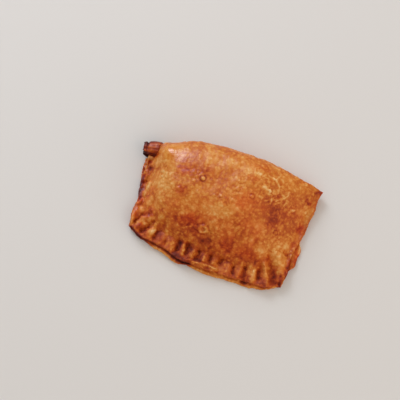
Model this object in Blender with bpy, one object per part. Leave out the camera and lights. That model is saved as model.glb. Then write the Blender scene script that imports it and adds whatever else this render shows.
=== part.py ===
"""A folded chicken pie: one sheet of pastry closed over its filling along a round back fold,
pressed shut with a fork along the other three sides, with one corner of the seam rolled up.

X runs along the fold, Y from the fork-pressed front to the fold at the back, Z is up.
Lengths are in metres, and the pie rests on z = 0 with the middle of its box over the origin.
"""
import math

import bmesh
import bpy
import numpy as np
from mathutils import Vector

MM = 0.001

# Plan corners of the closed parcel, before it is centred over the origin.
FRONT_LEFT = np.array((-54.5, -31.5)) * MM
FRONT_RIGHT = np.array((51.2, -37.0)) * MM
BACK_LEFT = np.array((-58.5, 23.0)) * MM
BACK_RIGHT = np.array((57.0, 32.0)) * MM

# How far each side bows out past the straight line between its corners, how squarely,
# how much more it does so towards its start than its end, and which way it bows.
FRONT_BOW = (6.8 * MM, 2.6, 0.08, (0.03, -1.0))
BACK_BOW = (9.9 * MM, 2.0, 0.16, (-0.07, 1.0))
LEFT_BOW = (-0.6 * MM, 2.0, 0.0, (-1.0, 0.0))
RIGHT_BOW = (-1.8 * MM, 2.0, 0.0, (1.0, 0.0))

# Corners that are rounded off: x, y, radius, and how far the tip is drawn in on x and y.
BLUNTED = [
    (-54.5, -31.5, 7.0, 0.8, 0.9),
    (51.2, -37.0, 7.0, -1.6, 1.6),
]

# Heights: two sheets pressed together at the rim, and the crown over the filling.
RIM_THICKNESS = 4.8 * MM
CROWN_HEIGHT = 28.0 * MM
FOLD_SHARE = 0.42

# Where the crown starts to rise, counted in from each side, and how long it takes to the top.
FRONT_FOOT, FRONT_RISE, FRONT_POWER = 9.0 * MM, 50.0 * MM, 2.5
LEFT_FOOT, LEFT_RISE, LEFT_POWER = 4.0 * MM, 34.0 * MM, 2.5
RIGHT_FOOT, RIGHT_RISE, RIGHT_POWER = 2.5 * MM, 50.0 * MM, 2.2
FOLD_RADIUS = 19.0 * MM
FOLD_TUCK = 5.5 * MM

# Lumps and hollows of the filling that push the crown up and down: x, y, radius, height.
LUMPS = [
    (-36.0, 14.0, 15.0, 1.2),
    (-8.0, -2.0, 13.0, 0.9),
    (14.0, 18.0, 15.0, 1.0),
    (31.0, -16.0, 12.0, 1.5),
    (-31.0, -14.0, 11.0, 0.8),
    (6.0, -22.0, 12.0, -0.8),
    (38.0, 8.0, 10.0, -0.7),
]
LUMPS_FULL_AT = 0.33

# Where the rim stands off the tray: x, y, radius, height.
LIFTS = [
    (-54.5, -31.5, 16.0, 1.6),
    (51.2, -37.0, 16.0, 1.4),
    (-58.5, 23.0, 16.0, 1.6),
    (57.0, 32.0, 18.0, 2.0),
    (-22.0, -41.0, 13.0, 0.8),
]

# Fork marks along the front: middle of each mark on x, its length, depth and half width.
FRONT_MARKS = [
    (-50.0, 8.5, 1.6, 1.4),
    (-43.3, 9.0, 2.0, 1.5),
    (-35.9, 9.5, 1.7, 1.5),
    (-28.3, 8.0, 0.9, 1.6),
    (-20.0, 9.0, 2.3, 1.5),
    (-13.8, 9.0, 2.5, 1.5),
    (-5.5, 8.0, 2.2, 1.4),
    (2.5, 7.5, 2.0, 1.4),
    (9.8, 7.5, 2.2, 1.6),
    (18.8, 8.0, 2.2, 1.6),
    (26.0, 11.5, 2.4, 1.6),
    (34.6, 12.0, 2.2, 1.8),
    (42.6, 16.0, 3.0, 2.3),
]
FRONT_MARK_INSET = 1.0 * MM
FAN_LEFT, FAN_RIGHT = math.radians(-26), math.radians(34)
FAN_MIDDLE, FAN_REACH = -8.0 * MM, 50.0 * MM

# Fork marks down the left side and by the right front corner: place on y, and depth.
LEFT_MARKS = [(-22.0, 1.3), (-15.5, 1.6), (-8.5, 1.2), (-1.5, 1.8), (5.5, 2.0), (12.0, 2.0)]
LEFT_MARK_RUN = np.array((5.5, 1.5)) * MM
RIGHT_MARKS = [(-27.0, 1.6), (-19.5, 1.2)]
RIGHT_MARK_RUN = np.array((-7.0, 3.0)) * MM
SIDE_MARK_HALF_WIDTH = 1.4
MARK_RUN_OUT = 1.5 * MM
MARK_SHALLOWING = 0.35
MARK_POWER = 2.5

# The upper sheet's edge curls up along this stretch of the front: from x to x, height, width,
# and how far it takes to start and end.
CURL = (-24.0, -2.0, 1.1, 1.8, 4.0)

# The lower sheet stands out past the upper one: a little all along, and more at these places,
# given as share along the side, half length as a share, and extra reach.
LIP = 0.8 * MM
FRONT_LIPS = [(0.24, 0.15, 1.5), (0.53, 0.13, 1.7), (0.72, 0.09, 0.8), (0.83, 0.08, 1.2)]
LEFT_LIPS = [(0.74, 0.17, 1.0)]
RIGHT_LIPS = [(0.35, 0.11, 3.2)]
LIP_FULL_AT = 0.6

# The edge as rings below the rim: how far out, share of the rim's height, share of the lip.
SEAM_RINGS = [
    (0.45, 0.80, 0.0),
    (0.35, 0.57, 0.0),
    (-1.00, 0.50, 0.0),
    (0.10, 0.42, 1.0),
    (0.30, 0.20, 1.0),
    (-0.60, 0.00, 1.0),
]
SEAM_END, SEAM_FADE = 0.80, 0.18
BASE_INSET = 9.0 * MM

# The rolled corner: a strip of the seam wound up on itself.
ROLL_CENTRE = Vector((-57.0, 21.5, 6.4)) * MM
ROLL_TURN = math.radians(11)
ROLL_LENGTH = 12.0 * MM
ROLL_RADIUS = 5.3 * MM
ROLL_SHEET, ROLL_THINNING = 1.5 * MM, 0.3
ROLL_PITCH = 1.8 * MM
ROLL_WINDS, ROLL_START, ROLL_STEPS = 1.7, math.radians(-150), 24
ROLL_CUTS = (-0.3, -0.1, 0.1, 0.3)
ROLL_TAPER = 0.12

# How finely the surface is divided.
COLUMNS, COLUMN_CROWDING = 78, 0.02
FRONT_ROWS, MIDDLE_ROWS, FOLD_ROWS = 9, 21, 10
FRONT_SHARE, FOLD_START = 0.155, 0.76

# Near each front corner the grid leans with the fork marks: share along the front where it
# leans most, how far that reaches towards the middle and the corner, and the shift inside.
LEANS = [(0.86, 0.40, 0.14, -0.085), (0.12, 0.35, 0.12, 0.035)]
LEAN_DEPTH, LEAN_FADE = 0.20, 0.45

CRUST_COLOUR = (0.46, 0.155, 0.034, 1.0)
CRUST_ROUGHNESS = 0.5
SHARP_ANGLE = math.radians(50)


def smooth(x):
    """0 below 0, 1 above 1, and an even S between."""
    x = np.clip(x, 0.0, 1.0)
    return x * x * (3.0 - 2.0 * x)


def side(start, end, t, bow):
    """Plan points of one bowed side of the parcel at shares t."""
    t = t[:, None]
    amount, power, skew, outward = bow
    height = amount * (1.0 - np.abs(2.0 * t - 1.0) ** power) * (1.0 - skew * (2.0 * t - 1.0))
    return start * (1 - t) + end * t + height * np.array(outward)


def plan(u, v):
    """Plan point of the parcel at shares u along its length and v across it."""
    front = side(FRONT_LEFT, FRONT_RIGHT, u, FRONT_BOW)
    back = side(BACK_LEFT, BACK_RIGHT, u, BACK_BOW)
    left = side(FRONT_LEFT, BACK_LEFT, v, LEFT_BOW)
    right = side(FRONT_RIGHT, BACK_RIGHT, v, RIGHT_BOW)
    u, v = u[:, None], v[:, None]
    flat = (
        (1 - u) * (1 - v) * FRONT_LEFT
        + u * (1 - v) * FRONT_RIGHT
        + (1 - u) * v * BACK_LEFT
        + u * v * BACK_RIGHT
    )
    points = (1 - v) * front + v * back + (1 - u) * left + u * right - flat
    for x, y, radius, inward, backward in BLUNTED:
        near = bumps(points, [(x, y, radius, 1.0)])[:, None]
        points = points + near * np.array((inward, backward))
    return points


def spans(u, v):
    """Length and width of the parcel through each point."""
    zero, one = np.zeros_like(u), np.ones_like(u)
    length = np.linalg.norm(plan(one, v) - plan(zero, v), axis=1)
    width = np.linalg.norm(plan(u, one) - plan(u, zero), axis=1)
    return length, width


def rise(distance, foot, run, power):
    """0 up to the foot of the crown, 1 at its top, steepest at the foot."""
    x = np.clip((distance - foot) / run, 0.0, 1.0)
    return 1.0 - (1.0 - x) ** power


def bumps(points, places):
    """Sum of round bumps, each given as x, y, radius and height in millimetres."""
    total = np.zeros(len(points))
    for x, y, radius, height in places:
        away = (points[:, 0] - x * MM) ** 2 + (points[:, 1] - y * MM) ** 2
        total += height * MM * np.exp(-away / (radius * MM) ** 2)
    return total


def crown(u, v, points):
    """Height of the upper sheet over the rim, before the fork marks."""
    length, width = spans(u, v)
    front = rise(v * width, FRONT_FOOT, FRONT_RISE, FRONT_POWER)
    ends = rise(u * length, LEFT_FOOT, LEFT_RISE, LEFT_POWER)
    ends *= rise((1 - u) * length, RIGHT_FOOT, RIGHT_RISE, RIGHT_POWER)
    from_fold = np.clip((1 - v) * width / FOLD_RADIUS, 0.0, 1.0)
    fold = FOLD_SHARE + (1 - FOLD_SHARE) * np.sqrt(1.0 - (1.0 - from_fold) ** 2)
    shape = front * ends * fold
    lumps = bumps(points, LUMPS) * smooth(shape / LUMPS_FULL_AT)
    return (CROWN_HEIGHT - RIM_THICKNESS) * shape + lumps


def curl(u, v, points):
    """How far the upper sheet's front edge curls up."""
    start, end, height, reach, fade = CURL
    x = points[:, 0] / MM
    along = smooth((x - start) / fade) * smooth((end - x) / fade)
    distance = v * spans(u, v)[1]
    return height * MM * along * np.exp(-((distance / (reach * MM)) ** 2))


def share_between(place, axis, start, end):
    """Share of the way from one corner to another at a place on x or y, in millimetres."""
    return np.array([(place * MM - start[axis]) / (end[axis] - start[axis])])


def fork_marks():
    """Every mark as inner end, outer end, depth and half width, in plan."""
    marks = []
    for x, long, deep, half in FRONT_MARKS:
        reach = x * MM - FAN_MIDDLE
        edge = FAN_LEFT if reach < 0 else FAN_RIGHT
        turn = edge * (reach / FAN_REACH) ** 2
        away = np.array((math.sin(turn), -math.cos(turn)))
        share = share_between(x, 0, FRONT_LEFT, FRONT_RIGHT)
        outer = plan(share, np.zeros(1))[0] - away * FRONT_MARK_INSET
        marks.append((outer - away * long * MM, outer, deep * MM, half * MM))
    for y, deep in LEFT_MARKS:
        share = share_between(y, 1, FRONT_LEFT, BACK_LEFT)
        outer = plan(np.zeros(1), share)[0]
        marks.append((outer + LEFT_MARK_RUN, outer, deep * MM, SIDE_MARK_HALF_WIDTH * MM))
    for y, deep in RIGHT_MARKS:
        share = share_between(y, 1, FRONT_RIGHT, BACK_RIGHT)
        outer = plan(np.ones(1), share)[0]
        marks.append((outer + RIGHT_MARK_RUN, outer, deep * MM, SIDE_MARK_HALF_WIDTH * MM))
    return marks


def pressed(points, marks):
    """How far the fork has pressed the upper sheet down at each plan point."""
    total = np.zeros(len(points))
    for inner, outer, deep, half in marks:
        along = outer - inner
        size = np.linalg.norm(along)
        along = along / size
        across = np.array((-along[1], along[0]))
        a = (points - inner) @ along
        b = (points - inner) @ across
        trough = np.exp(-(np.abs(b / half) ** MARK_POWER))
        ends = smooth(a / MARK_RUN_OUT) * smooth((size - a) / MARK_RUN_OUT)
        total = np.maximum(total, deep * (1.0 - MARK_SHALLOWING * a / size) * trough * ends)
    return total


def lip(u, v):
    """How far the lower sheet stands out past the upper one."""
    total = np.full(len(u), LIP)
    sides = ((v == 0.0, u, FRONT_LIPS), (u == 0.0, v, LEFT_LIPS), (u == 1.0, v, RIGHT_LIPS))
    for there, share, places in sides:
        for middle, half, extra in places:
            near = (1.0 - np.abs(share - middle) / half) / LIP_FULL_AT
            total += there * extra * MM * smooth(near)
    return total


def row_shares():
    """Shares across the parcel: close rows at the rim, and rows that crowd round the fold."""
    front = np.linspace(0.0, FRONT_SHARE, FRONT_ROWS + 1)
    middle = np.linspace(FRONT_SHARE, FOLD_START, MIDDLE_ROWS + 1)[1:]
    turn = np.linspace(0.0, math.pi / 2, FOLD_ROWS + 1)[1:]
    return np.concatenate((front, middle, FOLD_START + (1.0 - FOLD_START) * np.sin(turn)))


def column_shares():
    """Shares along the parcel, a little closer at both ends."""
    x = np.linspace(0.0, 1.0, COLUMNS + 1)
    return x - COLUMN_CROWDING * np.sin(2.0 * math.pi * x)


def leaning(u, v):
    """Shares along the parcel, moved so that grid columns run along the fanned fork marks."""
    inside = np.minimum(v / LEAN_DEPTH, 1.0) * (1.0 - smooth((v - LEAN_DEPTH) / LEAN_FADE))
    shift = np.zeros_like(u)
    for middle, inner, outer, amount in LEANS:
        low, high = (inner, outer) if middle > 0.5 else (outer, inner)
        shift += amount * smooth((u - middle + low) / low) * smooth((middle + high - u) / high)
    return u + shift * inside


def outline_places(rows):
    """Grid places round the outline, counter-clockwise from the front left corner."""
    places = [(i, 0) for i in range(COLUMNS)]
    places += [(COLUMNS, j) for j in range(rows)]
    places += [(i, rows) for i in range(COLUMNS, 0, -1)]
    places += [(0, j) for j in range(rows, 0, -1)]
    return places


def stepped_out(u, v, reach):
    """Plan points of the outline moved out by reach, with its corners kept."""
    length, width = spans(u, v)
    return plan(0.5 + (u - 0.5) * (1 + 2 * reach / length), 0.5 + (v - 0.5) * (1 + 2 * reach / width))


def edge_rings(u, v, heights):
    """Rings of points from the rim round the seam, or round the fold, to the flat base."""
    folded = smooth((v - SEAM_END) / SEAM_FADE)
    lifted = bumps(plan(u, v), LIFTS)
    out = lip(u, v)
    for number, (offset, level, share) in enumerate(SEAM_RINGS, 1):
        turn = 0.5 * math.pi * number / len(SEAM_RINGS)
        seam_out = offset * MM + share * out
        seam_up = lifted + level * (heights - lifted)
        fold_out = -FOLD_TUCK * (1.0 - math.cos(turn))
        fold_up = heights * (1.0 - math.sin(turn))
        reach = seam_out * (1 - folded) + fold_out * folded
        up = seam_up * (1 - folded) + fold_up * folded
        yield np.column_stack((stepped_out(u, v, reach), up))
    inner = stepped_out(u, v, np.full(len(u), -BASE_INSET))
    yield np.column_stack((inner, np.zeros(len(u))))


def boundary_edges(bm):
    """Edges with a face on one side only."""
    return [edge for edge in bm.edges if edge.is_boundary]


def extruded_partner(vert, fresh):
    """The new vertex that an extrusion has joined to this one."""
    for edge in vert.link_edges:
        other = edge.other_vert(vert)
        if other in fresh:
            return other
    return None


def parcel_mesh(bm):
    """The closed parcel: a shaped grid for the upper sheet, rings for the edge, a flat base."""
    us, vs = column_shares(), row_shares()
    rows = len(vs) - 1
    bmesh.ops.create_grid(bm, x_segments=COLUMNS, y_segments=rows, size=0.5)
    grid = {}
    for vert in bm.verts:
        grid[round((vert.co.x + 0.5) * COLUMNS), round((vert.co.y + 0.5) * rows)] = vert
    u = np.array([us[i] for i, _ in grid])
    v = np.array([vs[j] for _, j in grid])
    u = leaning(u, v)
    points = plan(u, v)
    heights = RIM_THICKNESS + crown(u, v, points) + bumps(points, LIFTS) + curl(u, v, points)
    heights -= pressed(points, fork_marks())
    for vert, (x, y), z in zip(grid.values(), points, heights):
        vert.co = (x, y, z)

    loop = outline_places(rows)
    number = {place: n for n, place in enumerate(grid)}
    index = np.array([number[place] for place in loop])
    ring = [grid[place] for place in loop]
    for level in edge_rings(u[index], v[index], heights[index]):
        made = bmesh.ops.extrude_edge_only(bm, edges=boundary_edges(bm))["geom"]
        fresh = {item for item in made if isinstance(item, bmesh.types.BMVert)}
        ring = [extruded_partner(vert, fresh) for vert in ring]
        for vert, co in zip(ring, level):
            vert.co = co
    bmesh.ops.contextual_create(bm, geom=boundary_edges(bm))
    bmesh.ops.recalc_face_normals(bm, faces=bm.faces)


def roll_mesh(bm):
    """The rolled corner: a spiral strip of pastry, drawn out along its axis and tapered."""
    outer, inner = [], []
    for k in range(ROLL_STEPS + 1):
        share = k / ROLL_STEPS
        angle = ROLL_START + share * ROLL_WINDS * 2.0 * math.pi
        radius = ROLL_RADIUS - share * ROLL_WINDS * ROLL_PITCH
        thin = radius - ROLL_SHEET * (1.0 - ROLL_THINNING * share)
        outer.append(Vector((0.0, radius * math.cos(angle), radius * math.sin(angle))))
        inner.append(Vector((0.0, thin * math.cos(angle), thin * math.sin(angle))))
    face = bm.faces.new([bm.verts.new(co) for co in outer + inner[::-1]])
    bmesh.ops.translate(bm, verts=bm.verts, vec=(-0.5 * ROLL_LENGTH, 0.0, 0.0))
    made = bmesh.ops.extrude_face_region(bm, geom=[face])["geom"]
    fresh = [item for item in made if isinstance(item, bmesh.types.BMVert)]
    bmesh.ops.translate(bm, verts=fresh, vec=(ROLL_LENGTH, 0.0, 0.0))
    for share in ROLL_CUTS:
        everything = bm.verts[:] + bm.edges[:] + bm.faces[:]
        cut = (share * ROLL_LENGTH, 0.0, 0.0)
        bmesh.ops.bisect_plane(bm, geom=everything, plane_co=cut, plane_no=(1.0, 0.0, 0.0))
    for vert in bm.verts:
        taper = 1.0 + 2.0 * ROLL_TAPER * vert.co.x / ROLL_LENGTH
        vert.co.y *= taper
        vert.co.z *= taper
    bmesh.ops.recalc_face_normals(bm, faces=bm.faces)


def make_object(name, build, material, collection):
    """An object made by a function that fills a bmesh."""
    bm = bmesh.new()
    build(bm)
    mesh = bpy.data.meshes.new(name)
    bm.to_mesh(mesh)
    bm.free()
    mesh.materials.append(material)
    made = bpy.data.objects.new(name, mesh)
    collection.objects.link(made)
    return made


def pastry():
    """Baked shortcrust, brushed with egg."""
    material = bpy.data.materials.new("golden_crust")
    material.use_nodes = True
    shader = material.node_tree.nodes["Principled BSDF"]
    shader.inputs["Base Color"].default_value = CRUST_COLOUR
    shader.inputs["Roughness"].default_value = CRUST_ROUGHNESS
    shader.inputs["Metallic"].default_value = 0.0
    return material


def join_by_union(target, pieces):
    """Fuses the pieces, a collection, into the target and removes them."""
    union = target.modifiers.new("join", "BOOLEAN")
    union.operation = "UNION"
    union.operand_type = "COLLECTION"
    union.collection = pieces
    union.solver = "EXACT"
    graph = bpy.context.evaluated_depsgraph_get()
    joined = bpy.data.meshes.new_from_object(target.evaluated_get(graph))
    target.modifiers.clear()
    target.data = joined
    for piece in list(pieces.objects):
        bpy.data.objects.remove(piece)
    bpy.data.collections.remove(pieces)


def centre_over_origin(made):
    """Puts the middle of the box over the origin and the base on z = 0."""
    mesh = made.data
    low = Vector([min(vert.co[axis] for vert in mesh.vertices) for axis in range(3)])
    high = Vector([max(vert.co[axis] for vert in mesh.vertices) for axis in range(3)])
    middle = (low + high) / 2.0
    for vert in mesh.vertices:
        vert.co -= Vector((middle.x, middle.y, low.z))


def main():
    for old in list(bpy.data.objects):
        bpy.data.objects.remove(old)
    collection = bpy.data.collections.new("chicken_pie")
    bpy.context.scene.collection.children.link(collection)
    extras = bpy.data.collections.new("joined_pieces")
    bpy.context.scene.collection.children.link(extras)
    crust = pastry()
    pie = make_object("pie", parcel_mesh, crust, collection)
    roll = make_object("roll", roll_mesh, crust, extras)
    roll.location = ROLL_CENTRE
    roll.rotation_euler = (0.0, 0.0, ROLL_TURN)
    bpy.context.view_layer.update()
    join_by_union(pie, extras)
    centre_over_origin(pie)
    pie.data.shade_smooth()
    pie.data.set_sharp_from_angle(angle=SHARP_ANGLE)


main()
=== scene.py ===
import math
import random

import bmesh
import bpy
import numpy as np
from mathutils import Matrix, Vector, noise


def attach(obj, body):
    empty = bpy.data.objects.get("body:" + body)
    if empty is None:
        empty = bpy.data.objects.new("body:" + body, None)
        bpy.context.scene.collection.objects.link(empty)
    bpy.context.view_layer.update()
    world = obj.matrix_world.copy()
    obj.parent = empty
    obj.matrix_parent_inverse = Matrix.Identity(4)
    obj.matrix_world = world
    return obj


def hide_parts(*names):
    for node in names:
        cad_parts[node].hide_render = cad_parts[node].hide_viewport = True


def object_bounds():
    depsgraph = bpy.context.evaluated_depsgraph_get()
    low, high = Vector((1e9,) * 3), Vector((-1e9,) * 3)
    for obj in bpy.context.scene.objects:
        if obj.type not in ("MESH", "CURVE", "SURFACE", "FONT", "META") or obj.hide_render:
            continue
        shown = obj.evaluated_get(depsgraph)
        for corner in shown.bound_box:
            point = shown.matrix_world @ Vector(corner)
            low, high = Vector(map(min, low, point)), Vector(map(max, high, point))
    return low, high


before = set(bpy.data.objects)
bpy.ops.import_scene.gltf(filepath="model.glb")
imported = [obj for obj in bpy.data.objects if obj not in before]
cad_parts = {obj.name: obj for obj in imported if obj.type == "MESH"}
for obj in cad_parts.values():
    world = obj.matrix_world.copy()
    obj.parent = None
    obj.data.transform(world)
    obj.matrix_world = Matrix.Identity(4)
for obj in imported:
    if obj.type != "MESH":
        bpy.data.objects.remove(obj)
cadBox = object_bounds()
print("frame loaded, box", [round(side, 4) for corner in cadBox for side in corner])

# Everything about the pie's shape is in millimetres: x along the fold, y from the
# fork-pressed front to the fold, z up. originShift puts it over the origin, where the frame is.

parcel = {
    "frontLeft": (-54.5, -31.5),
    "frontRight": (51.2, -37.0),
    "backLeft": (-58.5, 23.0),
    "backRight": (57.0, 32.0),
    "mostRight": 57.0,
    "mostBack": 37.62,
    "frontBow": (6.8, 2.6, 0.08, (0.03, -1.0)),  # reach, squareness, skew, direction
    "backBow": (9.6, 2.0, 0.26, (-0.07, 1.0)),
    "leftBow": (-0.6, 2.0, 0.0, (-1.0, 0.0)),
    "rightBow": (-1.8, 2.0, 0.0, (1.0, 0.0)),
    # where the edge is pulled in: x, y, radius, how far in x and in y
    "blunted": [
        (-54.5, -31.5, 7, 1.2, 0.9), (51.2, -37, 7, -1, 1.2), (52, -15, 9, -0.8, 0),
        (-17, -40, 9, 0, -1.5), (-46, -35, 6, -0.2, -0.9), (-28, -38.5, 12, 0, 1.8),
        (40.5, -39, 5, 0.2, -0.9), (48.5, -38.3, 4, 0, 0.6), (51.5, -25, 5, 0.5, 0),
        (26, -41, 12, 0, 0.9), (57, 32, 9, -0.5, -0.4), (44, 35, 9, 0, -0.9), (30, 37, 10, 0, -0.5),
        (55, 21, 9, -0.5, 0), (-57.9, 3, 6, -0.5, 0), (-1, 37.5, 10, 0, -0.5), (-31, 34.5, 8, 0, 0.6),
        (-45, 30, 7, 0, -1.7), (-56, -13, 5, 1.2, 0),
    ],
    "rim": 4.8,
    "thinnest": 1.6,
    "height": 28.0,
    "foldShare": 0.42,  # the fold's outermost line, as a share of the crown
    "frontRise": (9.0, 50.0, 2.5),  # foot from the edge, run to the top, steepness
    "leftRise": (3.2, 31.0, 2.9),
    "rightRise": (2.5, 50.0, 2.2),
    "foldRadius": 19.0,
    "foldTuck": 5.5,
    "lumpFade": 0.33,  # share of the crown below which its lumps die out
    "lumps": [  # x, y, radius, height
        (-47.5, 24, 8, 3), (-38, 17, 10, 0.6), (-8, -2, 13, 0.9), (14, 18, 15, 1), (31, -16, 12, 1.5),
        (-31, -14, 11, 0.8), (6, -22, 12, -0.8), (38, 8, 10, -0.7), (-50.5, 17.5, 8, 4),
        (-35, 17.5, 7, -0.7),
    ],
    "lifts": [  # where the rim stands off the floor: the same
        (-54.5, -31.5, 16, 1.6), (51.2, -37, 16, 1.4), (-58.5, 23, 16, 1.6), (57, 32, 18, 2),
        (-22, -41, 13, 0.8),
    ],
    "curl": (-13.5, 9.6, 1.0, 2.7, 1.6),  # the edge that curls up: from x, to x, height, width, run-out
    "columns": 300,
    "frontRows": 44,
    "middleRows": 118,
    "foldRows": 46,
    "frontShare": 0.17,
    "foldStart": 0.72,
}


def smooth(x):
    x = np.clip(x, 0.0, 1.0)
    return x * x * (3.0 - 2.0 * x)


def eased(values, start, run):
    # 0 before start, 1 once run further on; a negative run goes the other way
    return smooth((values - start) / run)


def sidePoints(start, end, t, bow):
    t = t[:, None]
    reach, power, skew, outward = bow
    height = reach * (1.0 - np.abs(2.0 * t - 1.0) ** power) * (1.0 - skew * (2.0 * t - 1.0))
    return np.array(start) * (1 - t) + np.array(end) * t + height * np.array(outward)


def bumps(points, places):
    total = np.zeros(len(points))
    for x, y, radius, height in places:
        away = (points[:, 0] - x) ** 2 + (points[:, 1] - y) ** 2
        total += height * np.exp(-away / radius**2)
    return total


def plan(u, v):
    # shares along and across the parcel to a place on the floor
    p = parcel
    front = sidePoints(p["frontLeft"], p["frontRight"], u, p["frontBow"])
    back = sidePoints(p["backLeft"], p["backRight"], u, p["backBow"])
    left = sidePoints(p["frontLeft"], p["backLeft"], v, p["leftBow"])
    right = sidePoints(p["frontRight"], p["backRight"], v, p["rightBow"])
    u, v = u[:, None], v[:, None]
    flat = (1 - u) * (1 - v) * np.array(p["frontLeft"]) + u * (1 - v) * np.array(p["frontRight"])
    flat = flat + (1 - u) * v * np.array(p["backLeft"]) + u * v * np.array(p["backRight"])
    points = (1 - v) * front + v * back + (1 - u) * left + u * right - flat
    for x, y, radius, inward, backward in p["blunted"]:
        near = bumps(points, [(x, y, radius, 1.0)])[:, None]
        points = points + near * np.array((inward, backward))
    return points


def spans(u, v):
    zero, one = np.zeros_like(u), np.ones_like(u)
    length = np.linalg.norm(plan(one, v) - plan(zero, v), axis=1)
    width = np.linalg.norm(plan(u, one) - plan(u, zero), axis=1)
    return length, width


def rise(distance, foot, run, power):
    x = np.clip((distance - foot) / run, 0.0, 1.0)
    return 1.0 - (1.0 - x) ** power


def crownHeight(u, v, points):
    p = parcel
    length, width = spans(u, v)
    shape = rise(v * width, *p["frontRise"]) * rise(u * length, *p["leftRise"])
    shape = shape * rise((1 - u) * length, *p["rightRise"])
    fromFold = np.clip((1 - v) * width / p["foldRadius"], 0.0, 1.0)
    fold = p["foldShare"] + (1 - p["foldShare"]) * np.sqrt(1.0 - (1.0 - fromFold) ** 2)
    shape = shape * fold
    return (p["height"] - p["rim"]) * shape + bumps(points, p["lumps"]) * smooth(shape / p["lumpFade"])


def curlHeight(u, v, points):
    start, end, height, reach, fade = parcel["curl"]
    x = points[:, 0]
    along = smooth((x - start) / fade) * smooth((end - x) / fade)
    return height * along * np.exp(-((v * spans(u, v)[1] / reach) ** 5))


fork = {
    # each press of a tine: inner end, outer end, depth at either, half width
    "pits": [
        (-48.2, -22, -51.6, -27.9, 1.2, 2, 0.85), (-40.3, -24, -42.4, -28.9, 1.2, 2, 0.95),
        (-42.4, -28.9, -45.6, -32.6, 2, 2, 1.15), (-32.2, -21.6, -34.9, -28, 0.9, 1.2, 1.9),
        (-34.9, -28, -36.6, -33.4, 1.2, 1.5, 1.4), (-28.3, -34.3, -28, -35.6, 0.9, 0.9, 1.1),
        (-19.9, -30.6, -20.1, -36, 1.9, 2.9, 1.35), (-13.9, -29.6, -13.5, -35.2, 3.2, 2.1, 1.35),
        (-5.9, -32, -5.8, -36.6, 2.6, 2.1, 1.1), (2, -32, 2.4, -35.9, 2.2, 2.4, 1),
        (9.4, -32.3, 9.2, -34.6, 2.5, 2.5, 1.2), (18.2, -33.9, 19, -37.6, 2.7, 1.3, 1.15),
        (25.3, -32.2, 27.6, -40.2, 2.3, 2.2, 1.1), (33.8, -26, 34.9, -31, 1.1, 1.9, 1.35),
        (34.9, -31, 35.8, -35, 2, 2.3, 1.35), (37.5, -20.8, 41, -26.7, 1.5, 2.5, 1.35),
        (41, -26.7, 45.8, -35.2, 2.6, 3.1, 1.9), (45.4, -13.8, 48.8, -15.6, 1, 1.2, 0.9),
        (-56.4, 13.2, -55.6, 12, 1.7, 1.7, 1.7), (-54, 9.4, -52.6, 8.4, 1.6, 1.6, 1),
        (-56.4, 3, -55.8, 2, 0.6, 0.6, 0.8), (-53.8, -0.2, -54.6, -1.2, 1.6, 1.6, 1),
        (-48.6, -3.4, -50, -9.4, 0.7, 0.8, 0.9), (-53.8, -12.7, -54.6, -13.1, 0.9, 0.9, 0.9),
        (49.4, -34.8, 50.2, -35.4, 2.4, 2.4, 1.2), (-11, -38.4, 8, -37.2, 0.8, 0.9, 0.55),
    ],
    # dough that bulges between the presses: one end, other end, height, half width, tone, red
    "lobes": [
        (-16.6, -32, -16.2, -37.6, 0.8, 1.35, -0.4, 0), (-9, -33.6, -9.4, -37, 0.9, 1.7, -0.42, 0),
        (-1.9, -34.4, -1.5, -36.9, 0.8, 1.6, -0.42, 0), (5.8, -33.5, 5.9, -36.6, 0.4, 1.9, -0.05, 0.2),
        (14, -34.5, 14.2, -38.5, 0.5, 2.4, -0.14, 0.2), (22.4, -35.6, 22.8, -38.6, 0.8, 1.5, -0.28, 0.7),
        (29.4, -30.2, 32.1, -37.8, 1, 2.2, -0.38, 0), (36.6, -25.4, 41.6, -36.6, 1.1, 1.5, -0.2, 0.3),
        (42.6, -17, 45.6, -22.2, 1.7, 2.7, -0.17, 0), (45.6, -22.2, 48, -27.6, 1.6, 2.5, -0.07, 0.1),
        (-24.2, -31.5, -24, -36.2, 0.6, 2.4, -0.16, 0), (-30.4, -28.4, -31.4, -35.4, 0.5, 2.2, -0.16, 0),
        (-38.6, -27, -41.2, -32.6, 1.1, 2.1, -0.26, 0), (-41.6, -22, -47.8, -24.6, 1, 1.5, -0.22, 0.3),
        (-47.4, -29, -49.2, -30.4, 0.8, 1.5, 0.1, 0.8), (-52.5, -19.6, -53.6, -26, 1.3, 1.9, -0.08, 0.4),
        (-50.6, -18, -50.3, -18.4, 0.5, 0.9, -0.4, 0.2),
        (-52.4, -13.6, -53.4, -16.2, 0.9, 1.1, -0.02, 0.9),
        (-50.6, -2.2, -51.4, -8.2, 0.9, 1.9, -0.14, 0), (-55, 5.8, -54.4, 3.8, 1.3, 2.2, 0.16, 0.3),
        (-57.2, 8.4, -56.9, 7.4, 0.9, 0.8, -0.3, 0.3), (-57.4, 15.4, -55, 15.6, 1.1, 1, -0.3, 0.2),
        (-53.8, 12.4, -53.6, 10.4, 1.5, 1.1, -0.14, 0.8), (-58, 13.6, -57.6, 10.8, 0.8, 0.9, -0.06, 0.1),
        (-46.6, -11.2, -47.2, -14.6, 0.6, 1.7, -0.18, 0),
        (-12.5, -40.2, 8.6, -38.9, 1.2, 0.95, -0.28, 0.25), (-47, -6, -46, -1, 0.3, 1.6, -0.1, 0),
    ],
    "swell": 1.3,
    "tailed": (2.0, 12.0),  # lengths of the front presses that have tails
    "tail": (6.5, 0.20),  # a press runs on up the crown as a shallow fold: length, share of depth
    "outerTail": (5.0, 0.28),  # and out to the edge
    "widen": 1.25,
    "ease": 0.8,  # share of every depth above
    "steepness": 2.0,
    "warp": (3.0, 0.45),  # no press is straight: size of its waver, how far
}


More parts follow.
